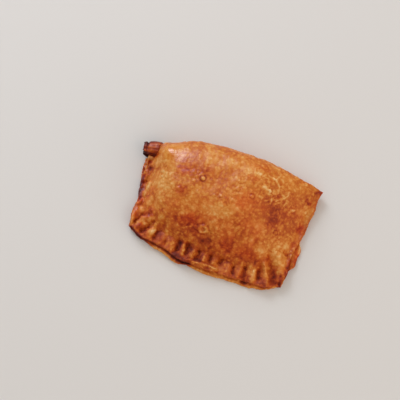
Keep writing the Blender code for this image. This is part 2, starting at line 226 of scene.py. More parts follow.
def strokeTo(points, x0, y0, x1, y1):
    # how far each point is from a stroke, and the share of the stroke's length beside it
    start = np.array((x0, y0))
    reach = np.array((x1, y1)) - start
    share = np.clip((points - start) @ reach / (reach @ reach), 0.0, 1.0)
    return np.linalg.norm(points - start - share[:, None] * reach, axis=1), share


def nearStroke(points, ends, half, steepness=2.0):
    # 1 on a stroke, less and less past its half width
    return np.exp(-((strokeTo(points, *ends)[0] / half) ** steepness))


def wavered(points):
    size, amount = fork["warp"]
    flat = np.column_stack((points[:, :2], np.zeros(len(points))))
    return points[:, :2] + amount * np.column_stack((noiseAt(flat, size, 31), noiseAt(flat, size, 32)))


def pressDepth(points):
    total = np.zeros(len(points))
    tails = np.zeros(len(points))
    for x0, y0, x1, y1, inner, outer, half in fork["pits"]:
        half *= fork["widen"]
        away, share = strokeTo(points, x0, y0, x1, y1)
        depth = fork["ease"] * (inner + (outer - inner) * share)
        total = np.maximum(total, depth * np.exp(-((away / half) ** fork["steepness"])))
        inward = np.array((x0 - x1, y0 - y1))
        length = np.linalg.norm(inward)
        shortest, longest = fork["tailed"]
        if y0 < -20.0 and shortest < length < longest:
            for start, way, depth, (reach, part) in (
                ((x0, y0), inward, inner, fork["tail"]),
                ((x1, y1), -inward, outer, fork["outerTail"]),
            ):
                tip = np.array(start) + way / length * reach
                away, share = strokeTo(points, *start, *tip)
                fade = depth * part * (1.0 - 0.7 * share)
                tails = np.maximum(tails, fade * np.exp(-((away / (1.1 * half)) ** 2)))
    return total, tails


def lobeShape(points):
    height, tone, red = (np.zeros(len(points)) for _ in range(3))
    for *ends, up, half, toneShift, redShift in fork["lobes"]:
        there = nearStroke(points, ends, half, 2.2)
        height = np.maximum(height, fork["swell"] * up * there)
        tone += toneShift * there
        red = np.maximum(red, redShift * there)
    return height, tone, red


seam = {
    "lip": 0.8,  # how far the lower sheet shows past the upper one all along
    "frontLips": [(0.27, 0.15, 1.9), (0.53, 0.13, 1.7), (0.75, 0.17, 1.2), (0.775, 0.05, 0.7)],
    "leftLips": [(0.74, 0.17, 1.0)],
    "rightLips": [(0.335, 0.15, 3.2)],
    "lipFullAt": 0.6,
    "gape": (0.36, 0.11, 1.5),  # where the sheets part most along the front: middle, half, steepness
    # rings down the cut edge: how far out, share of the rim's height, share of the lip, and
    # how far it moves out and up where the sheets gape
    "rings": [
        (0.28, 0.93, 0, 0, 0.1),
        (0.42, 0.86, 0, 0, 0.2),
        (0.36, 0.79, 0, 0, 0.3),
        (0.46, 0.72, 0, 0, 0.4),
        (0.32, 0.66, 0, -0.1, 0.5),
        (0.05, 0.62, 0, -0.3, 0.5),
        (-0.35, 0.58, 0, -0.9, 0.4),
        (-0.65, 0.54, 0, -1.5, 0),
        (-0.45, 0.5, 0.05, -1.2, -0.5),
        (-0.35, 0.475, 0.22, -0.5, -0.7),
        (-0.15, 0.46, 0.42, 0, -0.7),
        (-0.02, 0.455, 0.62, 0.1, -0.6),
        (0.05, 0.45, 0.8, 0.2, -0.5),
        (0.12, 0.43, 0.93, 0.3, -0.4),
        (0.22, 0.37, 1, 0.3, -0.3),
        (0.32, 0.29, 1, 0.3, -0.2),
        (0.24, 0.2, 1, 0.3, -0.1),
        (0.32, 0.12, 1, 0.3, 0),
        (0.1, 0.04, 1, 0.3, 0),
        (-0.6, 0, 1, 0, 0),
    ],
    # the dark line between the sheets, painted shade in the gap over a browned cut edge: its ring and width,
    # then its strength at each x along the front and at each y along the left
    "gap": (10.2, 2.8),
    "gapTones": [
        (-52, 0.3), (-19, 0.3), (-12, 0.8), (-7, 0),
        (24.5, -0.1), (26, 0.5), (28, 0.5), (30, -0.1),
    ],
    "leftGapTones": [(-30, 0.1), (-25, 0.5), (2, 0.5), (6, 0.2)],
    # and the tone of the lower sheet's lip under it, at each x: paler where light falls on the lip,
    # darker where the lifted upper sheet shades it, painted light and shade
    "lipTones": [
        (-50, 0.1), (-40, 0.05), (-34, -0.3), (-22, -0.3),
        (-12, 0.1), (-8, -0.2), (20, -0.2),
    ],
    "foldFrom": (0.80, 0.18),  # where the cut edge turns into the fold, and over how much, as shares
    "baseInsets": (3.0, 7.0, 11.0, 17.0, 24.0, 32.0),
    "baseRun": 9.0,  # how far in the base stays lifted at the corners
}


def lipReach(u, v):
    total = np.full(len(u), seam["lip"])
    sides = (
        (v == 0.0, u, seam["frontLips"]),
        (u == 0.0, v, seam["leftLips"]),
        (u == 1.0, v, seam["rightLips"]),
    )
    for there, share, places in sides:
        for middle, half, extra in places:
            near = (1.0 - np.abs(share - middle) / half) / seam["lipFullAt"]
            total += there * extra * smooth(near)
    return total


def steppedOut(u, v, reach):
    length, width = spans(u, v)
    return plan(0.5 + (u - 0.5) * (1 + 2 * reach / length), 0.5 + (v - 0.5) * (1 + 2 * reach / width))


def edgeRings(u, v, heights):
    # the cut edge on three sides and the round of the fold on the fourth, then the base
    folded = eased(v, *seam["foldFrom"])
    lifted = bumps(plan(u, v), parcel["lifts"])
    out = lipReach(u, v)
    middle, half, steepness = seam["gape"]
    gape = (v == 0.0) * smooth(steepness * (1.0 - np.abs(u - middle) / half))
    count = len(seam["rings"])
    for number, (offset, level, share, gapeOut, gapeUp) in enumerate(seam["rings"], 1):
        turn = 0.5 * math.pi * number / count
        reach = (offset + share * out + gapeOut * gape) * (1 - folded)
        reach = reach - parcel["foldTuck"] * (1.0 - math.cos(turn)) * folded
        up = (lifted + level * (heights - lifted) + gapeUp * gape) * (1 - folded)
        up = up + heights * (1.0 - math.sin(turn)) * folded
        yield np.column_stack((steppedOut(u, v, reach), np.maximum(up, 0.0)))
    for inset in seam["baseInsets"]:
        fade = max(0.0, 1.0 - inset / seam["baseRun"])
        reach = -inset - parcel["foldTuck"] * folded * fade
        yield np.column_stack((steppedOut(u, v, reach), lifted * (1 - folded) * fade))


def rowShares():
    p = parcel
    front = np.linspace(0.0, p["frontShare"], p["frontRows"] + 1)
    middle = np.linspace(p["frontShare"], p["foldStart"], p["middleRows"] + 1)[1:]
    turn = np.linspace(0.0, math.pi / 2, p["foldRows"] + 1)[1:]
    return np.concatenate((front, middle, p["foldStart"] + (1.0 - p["foldStart"]) * np.sin(turn)))


def buildCrust():
    # one grid shaped into the upper sheet, its rim pulled down ring by ring to the base
    columns = parcel["columns"]
    rowAt = rowShares()
    rows = len(rowAt) - 1
    bm = bmesh.new()
    bmesh.ops.create_grid(bm, x_segments=columns, y_segments=rows, size=0.5)
    bm.verts.ensure_lookup_table()
    places = [(round((w.co.x + 0.5) * columns), round((w.co.y + 0.5) * rows)) for w in bm.verts]
    u = np.array([i / columns for i, j in places])
    v = np.array([rowAt[j] for i, j in places])
    points = plan(u, v)
    pressed, tails = pressDepth(wavered(points))
    heights = parcel["rim"] + crownHeight(u, v, points) + bumps(points, parcel["lifts"])
    heights += curlHeight(u, v, points) + lobeShape(wavered(points))[0]
    heights = np.maximum(heights - pressed - tails, parcel["thinnest"])
    for vert, (x, y), z in zip(bm.verts, points, heights):
        vert.co = (x, y, z)

    number = {place: n for n, place in enumerate(places)}
    loop = [(i, 0) for i in range(columns)] + [(columns, j) for j in range(rows)]
    loop += [(i, rows) for i in range(columns, 0, -1)] + [(0, j) for j in range(rows, 0, -1)]
    index = np.array([number[place] for place in loop])
    ring = [bm.verts[n] for n in index]
    edges = [edge for edge in bm.edges if edge.is_boundary]
    ringOf = [0] * len(bm.verts)
    for level, spots in enumerate(edgeRings(u[index], v[index], heights[index]), 1):
        made = bmesh.ops.extrude_edge_only(bm, edges=edges)["geom"]
        fresh = {item for item in made if isinstance(item, bmesh.types.BMVert)}
        edges = [item for item in made if isinstance(item, bmesh.types.BMEdge) and item.is_boundary]
        ring = [next(w for e in vert.link_edges if (w := e.other_vert(vert)) in fresh) for vert in ring]
        for vert, spot in zip(ring, spots):
            vert.co = spot
        ringOf += [level] * len(fresh)
    bmesh.ops.contextual_create(bm, geom=edges)
    bmesh.ops.recalc_face_normals(bm, faces=bm.faces)
    return meshFrom(bm, "crust"), np.array(ringOf)


def meshFrom(bm, name):
    mesh = bpy.data.meshes.new(name)
    bm.to_mesh(mesh)
    bm.free()
    return mesh


def addObject(name, data):
    thing = bpy.data.objects.new(name, data)
    bpy.context.scene.collection.objects.link(thing)
    return thing


def readPoints(mesh):
    spots = np.empty(len(mesh.vertices) * 3)
    mesh.vertices.foreach_get("co", spots)
    normals = np.empty(len(mesh.vertices) * 3)
    mesh.vertices.foreach_get("normal", normals)
    return spots.reshape(-1, 3), normals.reshape(-1, 3)


def placePoints(mesh, points):
    mesh.vertices.foreach_set("co", (points * 0.001 - originShift).ravel())
    mesh.update()


def noiseAt(points, size, seed):
    # even noise from about -1 to 1 whose lumps are about size across
    shifted = points / size + np.array((seed * 7.31, seed * 3.17, seed * 5.93))
    return np.array([noise.noise(Vector(p)) for p in shifted.tolist()]) * 1.6


relief = {
    # soft unevenness of the sheet over its filling: size across, height
    "swells": [(22.0, 0.45), (10.0, 0.38), (4.5, 0.20), (2.0, 0.10)],
    "edgeSwells": [(6.0, 0.35), (2.2, 0.25), (1.0, 0.12)],
    "wrinkles": (3.4, 0.42),  # folds that run down the front slope: size across, height
    "bubbling": [(3.6, 0.24), (2.0, 0.14)],  # puffed skin that comes in drifts: size, height
    "drift": 11.0,
    "slopeFrom": (-4.0, -12.0),  # where the front slope starts on y, and over how much
    "foldFrom": (20.0, 6.0),  # and the round of the fold
    # where the sheet is drawn smooth: x, y, radius, how much
    "taut": [(-41.0, 19.6, 9.0, 0.9), (-47.5, 20.0, 6.0, 0.6)],
    "blisterCount": 240,
    "blisterRadius": (0.6, 1.5),
    "blisterHeight": 0.22,  # share of its radius
    # blisters that stand out: x, y, radius, height, 1 for a ring with a sunken middle
    "named": [
        (-7.9, -19.8, 3.3, 0.8, 1), (-18.2, 9.3, 1.5, 1, 0), (14.8, 9.1, 1.3, 0.7, 0),
        (-12, -20.2, 1.6, 0.5, 0), (-2.5, 2, 1.6, 0.1, 0), (42.1, 11.9, 1.2, 0.5, 0),
        (36.5, -5.5, 1.3, 0.5, 0), (50.2, 14.7, 1.3, 0.4, 0), (50.5, 27.4, 1.1, 0.5, 0),
        (24.4, 16.8, 1.3, 0.5, 0), (-5.3, -37.2, 1.3, 0.5, 1),
    ],
    # where the sheet cracked into thin pale flakes: x, y, radius, strength
    "flaking": [
        (8, 24.2, 4.5, 0.6), (15, 23.4, 4, 0.5), (22, 21.4, 4.5, 0.4), (27.5, 15.8, 4, 0.5),
        (32, 20.5, 4, 0.5), (33, 12.5, 4.5, 0.7), (27, 13.5, 3.5, 0.7), (39, 14, 4, 0.6),
        (-42, 6, 5, 0.3),
    ],
    # the ridges of cracked skin that stand out: height, half width, course
    "ridges": [
        (0.42, 0.55, [(20.4, 25.5), (24.9, 24.7), (27.3, 23.7), (28.5, 22.2), (29.4, 19.8)]),
        (0.35, 0.5, [(17.5, 24.2), (20.5, 23.4)]),
        (0.25, 0.45, [(24.9, 24.7), (27.5, 29)]),
        (0.35, 0.95, [(19.8, 17.3), (21.3, 17.4), (23.7, 16.5), (24.5, 14.1)]),
        (0.32, 0.5, [(29, 19), (32.2, 17.8), (35, 17.8), (36, 19), (35.1, 21.3)]),
        (0.28, 0.5, [(35, 17.8), (33, 15.5)]),
        (0.28, 0.45, [(25.7, 14.7), (27.4, 12.1), (27.6, 9.5)]),
        (0.26, 0.45, [(27.4, 12.1), (29.9, 12.6), (31.5, 14.1)]),
        (0.26, 0.45, [(23.4, 9.6), (25.2, 11)]),
        (0.22, 0.6, [(18.9, 11), (21, 10.6), (21.1, 6.6)]),
        (0.3, 0.6, [(40.8, 11.6), (43.2, 12.8)]),
        (0.25, 0.55, [(13.8, 31), (16.9, 30)]),
        (0.28, 0.5, [(11, 27.3), (11.3, 24.4), (13.5, 23.9), (15.9, 24.9)]),
        (0.25, 0.45, [(-23.9, -22), (-19.6, -22.5), (-15.6, -19.6), (-12, -19.2)]),
    ],
    "flakeSize": 3.2,
    "flakeEdge": 0.13,
    "flakeHeight": 0.32,
}


def blisterList(points, top):
    # random small blisters on the upper sheet, and the ones that stand out
    rng = random.Random(41)
    candidates = np.flatnonzero(top)
    low, high = relief["blisterRadius"]
    found = []
    for _ in range(relief["blisterCount"]):
        spot = points[candidates[rng.randrange(len(candidates))]]
        radius = low + (high - low) * rng.random() ** 2.6
        height = relief["blisterHeight"] * radius * rng.uniform(0.5, 1.3)
        found.append((spot[0], spot[1], spot[2], radius, height, rng.random() < 0.06, 0.0))
    for x, y, radius, height, ringed in relief["named"]:
        near = np.argmin((points[:, 0] - x) ** 2 + (points[:, 1] - y) ** 2 + 1e9 * ~top)
        found.append((x, y, points[near, 2], radius, height, ringed, min(1.0, height)))
    return found


def blisterRelief(points, blisters):
    # height, the pale domes, partly a painted highlight, and the darker ring round each of those that stand
    # out
    height, dome, moat = (np.zeros(len(points)) for _ in range(3))
    order = np.argsort(points[:, 0])
    sortedX = points[order, 0]
    for x, y, z, radius, up, ringed, bold in blisters:
        start, stop = np.searchsorted(sortedX, (x - 2.2 * radius, x + 2.2 * radius))
        near = order[start:stop]
        away = np.linalg.norm(points[near] - (x, y, z), axis=1) / radius
        if ringed:
            bump = np.exp(-(((away - 0.72) / 0.26) ** 2)) - 0.25 * np.exp(-((away / 0.4) ** 2))
        else:
            bump = np.clip(1.0 - away**2, 0.0, 1.0) ** 0.8
        dip = np.exp(-(((away - 1.25) / 0.28) ** 2))
        height[near] += up * (bump - 0.16 * dip)
        pale = np.clip(bump, 0.0, 1.0) * min(1.0, up / 0.3) * (1.0 + bold)
        dome[near] = np.maximum(dome[near], pale)
        moat[near] = np.maximum(moat[near], bold * dip)
    return height, dome, moat


def bubbling(points):
    # rounded puffs with sharp valleys between, thick in some places and missing in others
    drift = smooth(0.6 + 0.9 * noiseAt(points, relief["drift"], 14))
    height, puffs = np.zeros(len(points)), np.zeros(len(points))
    for number, (size, up) in enumerate(relief["bubbling"]):
        bent = points + (0.3 * size * noiseAt(points, 1.6 * size, 15 + number))[:, None]
        puff = np.minimum(np.abs(noiseAt(bent, size, 17 + number)), 0.9)
        height += up * puff
        puffs += puff - 0.35
    return height * drift, puffs * drift


def flakes(points):
    # raised thin edges of the cells the skin broke into
    size = relief["flakeSize"]
    bent = points + 0.8 * np.column_stack([noiseAt(points, 2.6, seed) for seed in (11, 12, 13)])
    zone = np.clip(bumps(points, relief["flaking"]), 0.0, 1.0) * smooth(0.9 + noiseAt(points, 2.3, 19))
    edges = np.zeros(len(points))
    for n in np.flatnonzero(zone > 0.02):
        near = noise.voronoi(Vector(bent[n] / size))[0]
        edges[n] = math.exp(-(((near[1] - near[0]) / relief["flakeEdge"]) ** 2))
    return edges * zone


def ridges(points, flat):
    # the same, each on its own course, breaking up along its length
    total = np.zeros(len(points))
    for height, half, course in relief["ridges"]:
        for start, end in zip(course, course[1:]):
            total = np.maximum(total, height * nearStroke(flat, (*start, *end), half))
    return total * np.clip(0.85 + 0.5 * noiseAt(points, 1.6, 24), 0.2, 1.1)


# browning laid on where the oven caught or missed the crust, with painted shade and painted highlight among
# it:
# shade under the rolled corner and the lifted front edge, highlight round the sheen on the back-left shoulder
# and along the flap's edge
browningShadeAndHighlight = {
    "redness": -0.17,  # all over
    # what the forms of the surface add to its tone: more is browner, less is paler; the presses' darkening is
    # painted shade, the wrinkles' painted light and shade, the domes' paleness partly a painted highlight
    "pressShadeTone": 0.17,
    "edgeTone": 0.04,
    "moatTone": 0.30,
    "domePaleAndHighlightTone": -0.14,
    "flakeTone": -0.4,
    "ridgeTone": -1.4,
    "wrinkleShadingTone": -0.14,
    "puffTone": -0.14,
    # and to its redness
    "pressRed": 0.05,
    "edgeRed": 0.05,
    "rimRed": -0.08,
    "rimFrom": (-26.0, -6.0),  # where the pressed rim starts on y, and over how much
    "pressDulling": 1.8,  # how much duller the presses are
    # patches: x, y, two radii, turn in degrees, tone, redness
    "patches": [
        (33, 2, 5.5, 9, 0, 0.05, 0.2), (39, 0, 6, 6.5, -20, 0, 0.1), (39, 10, 7, 6, 0, 0.02, 0.3),
        (22, -24, 9, 3.5, 0, 0.08, 0.9), (24, -17, 1.3, 2.4, 0, -0.24, 0.4),
        (-19, -18, 9.5, 5, -10, 0.1, 0.5), (-12, -14, 5, 4, 0, 0.04, 0.4),
        (-5, -27, 10, 4.5, 0, 0.16, 0.1), (-14, -30, 5, 3, 0, 0, -0.3), (10, -24, 8, 6, 0, 0.08, 0.6),
        (3, -14, 8, 4, 0, -0.06, 0.2), (-22, 13, 9, 4.5, 10, 0.14, 0.3), (-32, 11, 4, 4, 0, 0.08, 0.3),
        (50.6, 3.6, 2, 3, 0, 0.18, 0.9), (12.6, 5.8, 7, 6, 0, 0.04, 0.5), (12, 20.6, 4, 1.6, 0, 0.1, 0.5),
        # both patches on the next line make the left slope and back-left shoulder paler and less red: partly
        # painted sheen round the highlight there
        (-43, 5, 8, 12, 0, -0.16, -0.4), (-40, 21, 8, 5, 20, -0.02, -0.5),
        (-12, 24, 12, 4.5, 10, -0.15, -0.4), (-16, 28, 9, 4, 0, -0.16, -0.5),
        (6.5, 24.5, 3.6, 3, 0, -0.32, -0.3), (43, -11.5, 6, 5, 0, -0.14, 0.1),
        (36, 27, 10, 4, -20, -0.12, -0.3), (22, 16.6, 3.4, 2.4, 0, -0.16, -0.1),
        (-0.4, 15.8, 4, 4, 0, -0.08, -0.1), (-3, -6, 12, 6, 10, -0.2, -0.1),
        (-16, 4, 6, 5, 0, -0.1, -0.1), (6, 10, 8, 6, 10, -0.05, -0.1), (7, -1, 5, 4, 0, -0.06, 0.2),
        (-45, -20, 3.5, 3.5, 0, 0.2, 0.3), (-49.5, -6, 3, 6, 0, 0.02, 0.3), (-50, 8, 3, 5, 0, 0.08, 0.1),
        (-23, -20, 6, 4, 0, 0.04, 0.4), (-31, -33, 6, 4, 0, 0.08, -0.1), (14, -34, 6, 3, 0, 0.1, 0.2),
        # the second patch on the next line, by the rolled corner, is painted shadow under the roll
        (24, -38, 6, 2.5, 0, 0.1, 0.2), (-55.5, 17, 3.4, 2, 0, 0.7, 0.6),
        (-56.1, 12.8, 1.3, 1.3, 0, 0.35, 0.5), (54.2, -12.5, 2, 7, 0, 0.02, 0.9),
        (14.8, 24.2, 2.8, 1.2, 10, -0.3, -0.4), (18, 29, 4, 2.5, -20, 0.04, 0.2),
        (20, -7, 9, 6, 0, 0, 0.5), (14, 6, 8, 6, 0, -0.08, 0.2), (46, -9.8, 2.2, 2.4, 0, -0.18, -0.2),
        (49.5, -8.2, 2.2, 3.4, 0, 0.16, 0.7), (-36.1, -20.3, 1.3, 1.8, 0, -0.28, -0.2),
        (-17.8, -16.2, 3.2, 2.2, 0, 0.1, 0.3), (-5, -24, 4, 2.2, 10, 0.04, 0.1),
        (-41, -2, 4, 3, 0, -0.1, -0.2), (30, 18, 7, 5, 0, 0.08, 0.2), (18.5, 7, 5, 4, 0, 0.08, 0.2),
        (43.5, 8.5, 3.5, 4, 0, 0.08, 0.2), (10, 14.5, 4, 3, 0, -0.08, -0.1),
        (25, 32.5, 12, 2.6, -20, -0.12, -0.2), (-44, -18.5, 3, 3, 0, 0.08, 0.1),
        (-35, 8, 22, 16, 0, -0.05, -0.1), (-7, -10, 18, 8, -10, 0, 0.3), (22, -16, 12, 7, -10, 0, 0.26),
        (-36.3, 8.6, 5, 2.6, 0, -0.06, -0.1), (-22.6, -35.1, 3, 2.6, 0, -0.29, 0.1),
        (50, 26.4, 4.6, 3, 20, 0.12, -0.3), (-15, -1.4, 3.5, 2.6, 0, 0.07, 0.1),
        (8.8, 8.9, 4, 3, 0, 0.07, 0.1), (13.6, -8, 2.6, 4.5, 0, 0.12, 0.1),
        (7.7, -15.6, 2.2, 4.5, 0, 0.11, 0.1), (20.8, -19.8, 4, 4, 0, 0.12, -0.1),
        (-46.7, -6.6, 3.6, 3.6, 0, 0.12, 0.1), (-23, -20, 4.5, 3.5, 0, 0.11, -0.1),
        (-22.5, -26.5, 3.6, 3.2, 0, 0.02, -0.1), (-34, -34, 4, 3, 0, 0, -0.3),
        (-10.4, -33.2, 2.4, 2.8, 0, 0.5, 0.1), (-3, -33.5, 2.8, 2.6, 0, 0.32, -0.1),
        (-1.6, -25.2, 5, 3.6, 0, 0.06, 0), (18.4, -38.8, 2.6, 2.6, 0, 0.42, -0.3),
        (41.6, -30.6, 2, 4, 0, -0.18, -0.1), (46.8, -34.6, 3, 3, 0, -0.08, -0.3),
        (-53.4, -13.8, 2.4, 2.6, 0, -0.2, 0.2), (-48, -12, 6, 4, 0, 0, 0.25),
        (-34, -10, 10, 5, -10, 0, 0.14), (-44, 25, 9, 4, 0, 0, -0.24), (-28, 30, 6, 4, 0, 0, -0.18),
        (38.5, 5, 6, 9, 0, 0, -0.12), (-17.5, -20, 5, 4, 0, 0, -0.18), (-8.5, -29, 5, 3.2, 0, 0, -0.32),
        (-19.5, -28, 4, 3, 0, 0, -0.24), (-36.4, -25.6, 2.6, 2.6, 0, 0, -0.24),
        (7.6, -33, 3, 2.6, 0, 0, -0.28), (16, -24.2, 5, 3.6, 0, 0, -0.18),
        (-54.6, -7.2, 1.8, 3.4, 0, 0.42, 0.1), (28.6, 15.4, 2.8, 3.6, -30, 0.13, 0.1),
        (23, 2.6, 2.2, 3, 0, 0.12, 0.1), (12.5, 7.5, 3, 2.2, 40, -0.13, 0),
        (-5.2, 1.3, 4.4, 1.9, -10, 0.14, 0), (-46.9, -25.3, 2.4, 1.4, 30, -0.18, 0),
    ],
    # smaller ones that differ in tone alone: x, y, two radii, tone
    "spots": [
        (39, -18.5, 4, 3.5, -0.12), (49.5, 13, 4, 5, -0.2), (-5.5, -18.5, 3, 3, -0.1),
        (30.8, -19.3, 3, 3, -0.16), (11.4, -27.6, 2.8, 2.8, -0.06), (24, -9, 5, 3, -0.06),
        (-45, -11, 3, 5, -0.06), (40, 14, 16, 16, 0.05), (-24, 13.5, 3.4, 3, -0.09),
        (-11.7, 15.2, 4.5, 3.5, -0.08), (-21, -1.5, 4, 4, -0.08), (1, -13.7, 3, 3, -0.09),
        (-13, -27, 3.4, 2.8, -0.32), (5.5, -26.4, 2.8, 2.6, -0.1), (26.2, -17.9, 2.6, 3.6, -0.17),
        (14.9, 25.9, 4, 2.6, 0.08), (2.6, 0.1, 3, 3.5, 0.06), (25, -11.5, 2.8, 2.8, 0.11),
        (-42.6, -20.6, 3, 2.4, 0.12), (-38.8, -26.2, 2.8, 2.6, 0.3), (-27, -21, 2.8, 2.8, -0.18),
        (-33.4, -29.6, 2.8, 3.2, 0.36), (-18.4, -32, 2.4, 3.4, 0.44), (11, -34, 2.2, 2.6, 0.24),
        (15.8, -29.8, 3.6, 3.2, 0.12), (29.3, -27.7, 4, 3.6, 0.13), (38.4, -35.4, 2.2, 3.2, 0.28),
        (24.9, -36.1, 2.2, 2.2, -0.14), (7.6, -36, 2, 2, -0.22), (27.9, 24, 3.2, 3, -0.1),
        (-56.9, 14.8, 2.6, 2.2, -0.48), (-55.8, 2.6, 2.2, 2.4, -0.24), (-54, 7.6, 2.6, 2.4, 0.34),
        (37.2, -2, 2.2, 2.2, -0.36), (37.4, -6, 3.4, 2.6, 0.18), (19, 18, 3, 2.2, 0.09),
        (36.6, -27.2, 2.2, 3.4, -0.24), (-5, -21.5, 2.8, 2.6, -0.11), (12.2, -13, 2, 3.2, -0.13),
        (-0.5, 5, 2.4, 2.4, -0.12), (1.5, 16.5, 2.6, 3.6, -0.11), (11, 30, 3.6, 2.4, -0.1),
        (-45.6, -18.4, 2.6, 2.2, -0.26), (-40, -15, 3, 4, -0.09), (-34, -26.2, 2, 2, -0.14),
        (-20, 17, 2.6, 3, 0.09), (-38, 14.5, 3.2, 3, 0.09), (-18, -20, 3.4, 2, 0.09),
        (-8, -34.6, 1.6, 1.6, -0.12), (57.6, 31.6, 2, 1.6, -0.36), (-25.4, -30.8, 2.6, 3.6, 0.12),
        (-6.4, -36.4, 2, 1.6, -0.2), (2, -37, 2.2, 1.6, -0.2), (4, -33, 1.8, 2, 0.1),
        (-21.8, -29.3, 2.2, 2.6, -0.22), (-8.8, -29.8, 2.8, 1.8, -0.16), (1.6, -24.4, 2.4, 2.8, 0.14),
        (14.3, -25.4, 1.8, 3.6, -0.22), (9.6, -22.6, 1.6, 2.6, 0.13), (17, -32, 3, 1.8, 0.13),
        (25, -32, 3, 2.4, 0.04), (30, -40.8, 2.6, 1.6, 0.36), (32.4, -26, 2, 2.8, 0.1),
        (41.4, -39.2, 3.4, 1.6, 0.28), (50.2, -1.4, 1.4, 3, -0.16), (53.2, 9.2, 1.6, 2.4, 0.12),
        (52.4, 17.1, 2, 2.6, -0.12), (44.6, 28.2, 2.6, 2, -0.16), (15.2, 21, 3, 2.4, -0.12),
        (27.6, 5.4, 1.8, 2.4, -0.1), (28.6, 10, 4, 2.8, 0.12), (26, -5, 3, 2.6, -0.12),
        (42.4, 7.4, 2.8, 2.8, -0.12), (21.3, -14.1, 2, 2.4, -0.2), (11.2, -5.1, 3, 2.4, 0.1),
        (-2.5, -11.7, 2.2, 2.2, 0.13), (-11, -18.1, 2.6, 3, 0.2), (-25.4, -17.5, 2, 3, 0.18),
        (-23.1, -24.1, 2.6, 2.6, 0.15), (-25.7, -9.6, 3, 2.2, -0.2), (-27.6, -6, 2, 1.8, 0.16),
        (-26.8, 12.5, 2.6, 2, 0.18), (-28, 23, 3, 3, 0.1), (-29.5, 17.9, 1.8, 3, 0.12),
        (-9.6, 24.5, 2.4, 3, 0.14), (-7.3, 16.1, 2.2, 2.8, 0.13), (-21.7, 7.5, 2.2, 2.6, 0.13),
        (-35.2, 3.6, 4, 1.8, 0.1), (-45.3, 8.6, 2.6, 2, 0.13), (-49, -15.2, 2, 2, 0.16),
        (-48.9, -23.3, 2.2, 2.2, 0.24), (-39.8, -23.4, 2.6, 1.4, -0.2), (-44.4, -7, 3.4, 2.4, 0.1),
        (-50.6, -8, 1.8, 5, -0.14), (-46.2, -13.6, 2.2, 2.2, -0.12), (-42.7, -27.6, 2.2, 1.8, -0.2),
        (-37.6, -31, 1.4, 3, -0.3), (-23, -14.1, 2.2, 2, -0.14), (-10.3, -15.9, 3, 1.2, -0.22),
        (-3.8, -20.6, 1.4, 3, -0.18), (-43.6, -21.4, 2.2, 2.2, 0.16), (-7.6, -25.6, 3.6, 1.6, 0.12),
        (6.5, -23.2, 1.2, 1.8, 0.16), (8.2, -26.9, 1.4, 2, -0.18), (33.6, -32.2, 1.4, 2.6, 0.16),
        (40.7, -33.6, 1.8, 2.2, 0.14), (46.4, -28, 1.4, 1.8, -0.1), (11.5, -24.9, 1.4, 2.2, 0.16),
        (47.6, 0.4, 1.2, 1.4, 0.12), (25.6, 11, 2, 3.4, 0.14), (31.9, 11, 2.4, 1.8, -0.14),
        (34.5, 5, 1.8, 2, -0.14), (32.2, -5.1, 1.8, 2.6, -0.14), (38.6, -12.6, 2.4, 2.6, -0.1),
        (8.2, -2.6, 1.8, 2.4, -0.16), (-50.2, 11.6, 2.8, 2, -0.22), (-37, -3.5, 8, 3.4, -0.08),
        (-41.4, -32.6, 2, 1.8, 0.2), (-30.4, -36.9, 1.8, 1.4, 0.16), (-54, -26.6, 1.6, 3.6, -0.2),
        (-51.3, -24, 1.6, 1.2, 0.18), (43.2, -27.2, 1.2, 1.6, 0.16), (35.8, -31.4, 1.2, 2, -0.14),
        (36.9, -37.4, 1.4, 2, -0.16), (31.8, -1, 1.6, 1.8, 0.14), (6.2, -18.4, 1.2, 2.4, -0.1),
        # the last two spots on the next line are a painted highlight: a pale bloom round the sheen on the
        # back-left shoulder
        (-25, -22.2, 1.6, 1.2, -0.14), (-41, 23.6, 6, 4, -0.12), (-46.6, 19, 4, 4, -0.1),
        (-56.4, -9.4, 1.6, 2.2, 0.3),
    ],
    # patches with a ragged edge: how far it wanders and over what size, then as above
    "ragged": (1.1, 2.6),
    "stains": [
        (33, 3.4, 9, 9.4, 0, 0.14, 0), (32, 1.8, 4.2, 7.2, 20, 0.1, 0), (34.4, 6.8, 3.4, 2.8, 0, 0.1, 0),
        (-18, -17, 6.5, 3.4, -10, 0.06, 0.4), (-6, -24, 4.6, 1.8, 15, 0.03, 0),
        (-29.4, -1.6, 4.4, 2.8, 0, 0.22, 0.5), (50.1, 21.4, 2, 1.4, 0, 0.34, 0.6),
        (55, 29.8, 3, 2.4, 0, 0.22, 0.7), (-33, 9.5, 6, 4, 15, 0.06, 0.5), (50.4, 4.4, 2, 3, 0, 0.12, 0.5),
    ],
    # tone along a line, browner or paler: one end, other end, half width, tone, redness
    "touches": [
        (-51, -30.5, -27, -36.5, 3.6, 0.17, -0.35), (-24, -36.5, -4, -37.5, 3.5, 0.16, -0.2),
        (24, -36.5, 38, -38, 3.4, 0.2, -0.1), (-56.6, 2.6, -55.6, -7.4, 1.1, 0.35, 0.5),
        (-53.6, -11, -54.2, -14, 0.9, 0.5, 0.8), (-52.6, -32, -45, -35.6, 0.9, 0.35, 0.6),
        (48.9, -30, 50.2, -36, 1.3, 0.45, 0.3), (51, -18, 51.2, -28, 1, 0.25, 0.6),
        (-56.4, 2, -56.8, -3, 1.2, 0.3, 0.4), (-44, -24, 4, -29, 7, 0.07, 0),
        (8, -27, 34, -27, 6, 0.05, 0), (-26.6, -14.4, -14.6, -17.4, 2.6, -0.14, 0),
        (-7, 21.1, 3, 31, 3, -0.08, 0), (18.6, -6.8, 27.9, -6.3, 2.6, -0.09, 0),
        (-52.1, -29.4, -47.3, -25.9, 2.4, -0.14, 0.2), (45.5, 9, 45, -5, 2.8, 0.08, 0),
        (-13, 33, -11, 26.5, 2.6, 0.09, 0), (-53.8, -18.6, -53.4, -24, 2, 0.18, 0),
